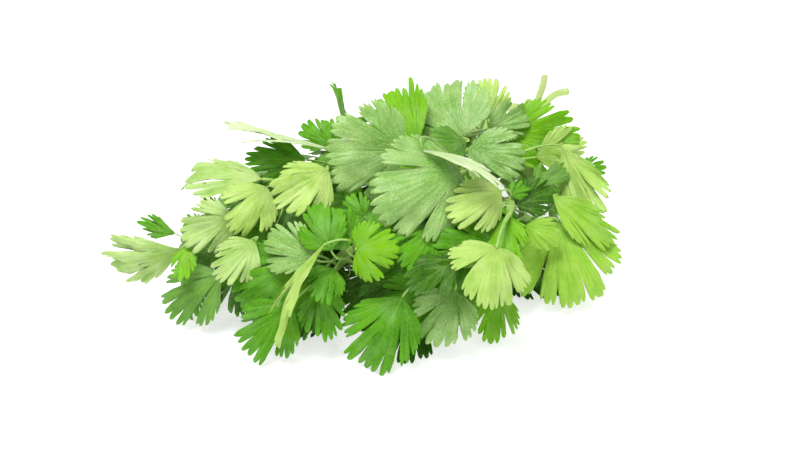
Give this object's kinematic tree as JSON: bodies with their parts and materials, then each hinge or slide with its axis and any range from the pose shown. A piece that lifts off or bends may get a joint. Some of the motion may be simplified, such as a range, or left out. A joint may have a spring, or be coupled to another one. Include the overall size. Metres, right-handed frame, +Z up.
{
  "type": "coriander bunch",
  "caption": "Loose bunch of fresh coriander lying on its side: toothed three-lobed leaves on thin green stems with cut ends.",
  "frame": {"origin": "on the table under the middle of the bunch's box", "axes": "+Z up, -Y towards the front where most leaves face, stems run to +Y"},
  "size_m": [0.216, 0.2214, 0.079],
  "materials": {
    "leaf_green": "mid green upper side with a faint sheen",
    "leaf_bright": "bright green, lit through",
    "leaf_lime": "yellow-green young leaf",
    "leaf_pale": "pale underside",
    "leaf_sheen": "green upper side with a whitish sheen and fine veins",
    "leaf_grey_green": "dull grey-green",
    "leaf_dark": "deep green, in shade",
    "stem": "moist ribbed green stem, paler at the cut"
  },
  "bodies": {
    "root": {"leaf_bed_left": "leaf_dark", "leaf_bed_front": "leaf_dark", "leaf_bed_right": "leaf_dark", "leaf_back_spike": "leaf_green", "leaf_left_back_shade": "leaf_green", "leaf_left_back_edge": "leaf_pale", "leaf_left_inner": "leaf_grey_green", "leaf_left_pale": "leaf_pale", "leaf_left_top_pale": "leaf_pale", "leaf_left_top_hanging": "leaf_lime", "leaf_left_top_long": "leaf_lime", "leaf_far_left": "leaf_pale", "leaf_left_front": "leaf_green", "leaf_middle_left_sheen": "leaf_sheen", "leaf_middle_left_upper": "leaf_green", "leaf_middle_left_shade": "leaf_green", "leaf_front_left_low": "leaf_dark", "leaf_front_left_lobed": "leaf_green", "leaf_front_left_long": "leaf_green", "leaf_front_left_rolled": "leaf_pale", "leaf_middle_low": "leaf_green", "leaf_middle_upper": "leaf_green", "leaf_middle_bright": "leaf_bright", "leaf_centre_left": "leaf_green", "leaf_centre": "leaf_green", "leaf_centre_right": "leaf_green", "leaf_centre_shade": "leaf_dark", "leaf_front_centre": "leaf_green", "leaf_front_right_sheen": "leaf_sheen", "leaf_front_right_low": "leaf_bright", "leaf_right_front_fan": "leaf_bright", "leaf_right_front_narrow": "leaf_bright", "leaf_right_long": "leaf_lime", "leaf_right_back": "leaf_lime", "leaf_right_inner_shade": "leaf_dark", "leaf_right_curled": "leaf_bright", "leaf_right_inner_lime": "leaf_lime", "leaf_right_inner_bright": "leaf_bright", "leaf_back_right_broad": "leaf_bright", "leaf_top_right": "leaf_sheen", "leaf_top_right_dull": "leaf_grey_green", "leaf_top_bright": "leaf_bright", "leaf_top_fan": "leaf_sheen", "leaf_back_right_lime": "leaf_lime", "leaf_top_left_broad": "leaf_sheen", "leaf_top_front_broad": "leaf_sheen", "leaf_top_folded": "leaf_pale", "leaf_front_lime": "leaf_lime", "sprig_far_left": "stem", "sprig_left_front": "stem", "sprig_front": "stem", "sprig_front_right": "stem", "sprig_right": "stem", "sprig_right_back": "stem", "sprig_left_top": "stem", "sprig_left_upper": "stem", "sprig_middle_left": "stem", "sprig_middle": "stem", "sprig_top": "stem", "sprig_top_back": "stem"}
  },
  "joints": []
}
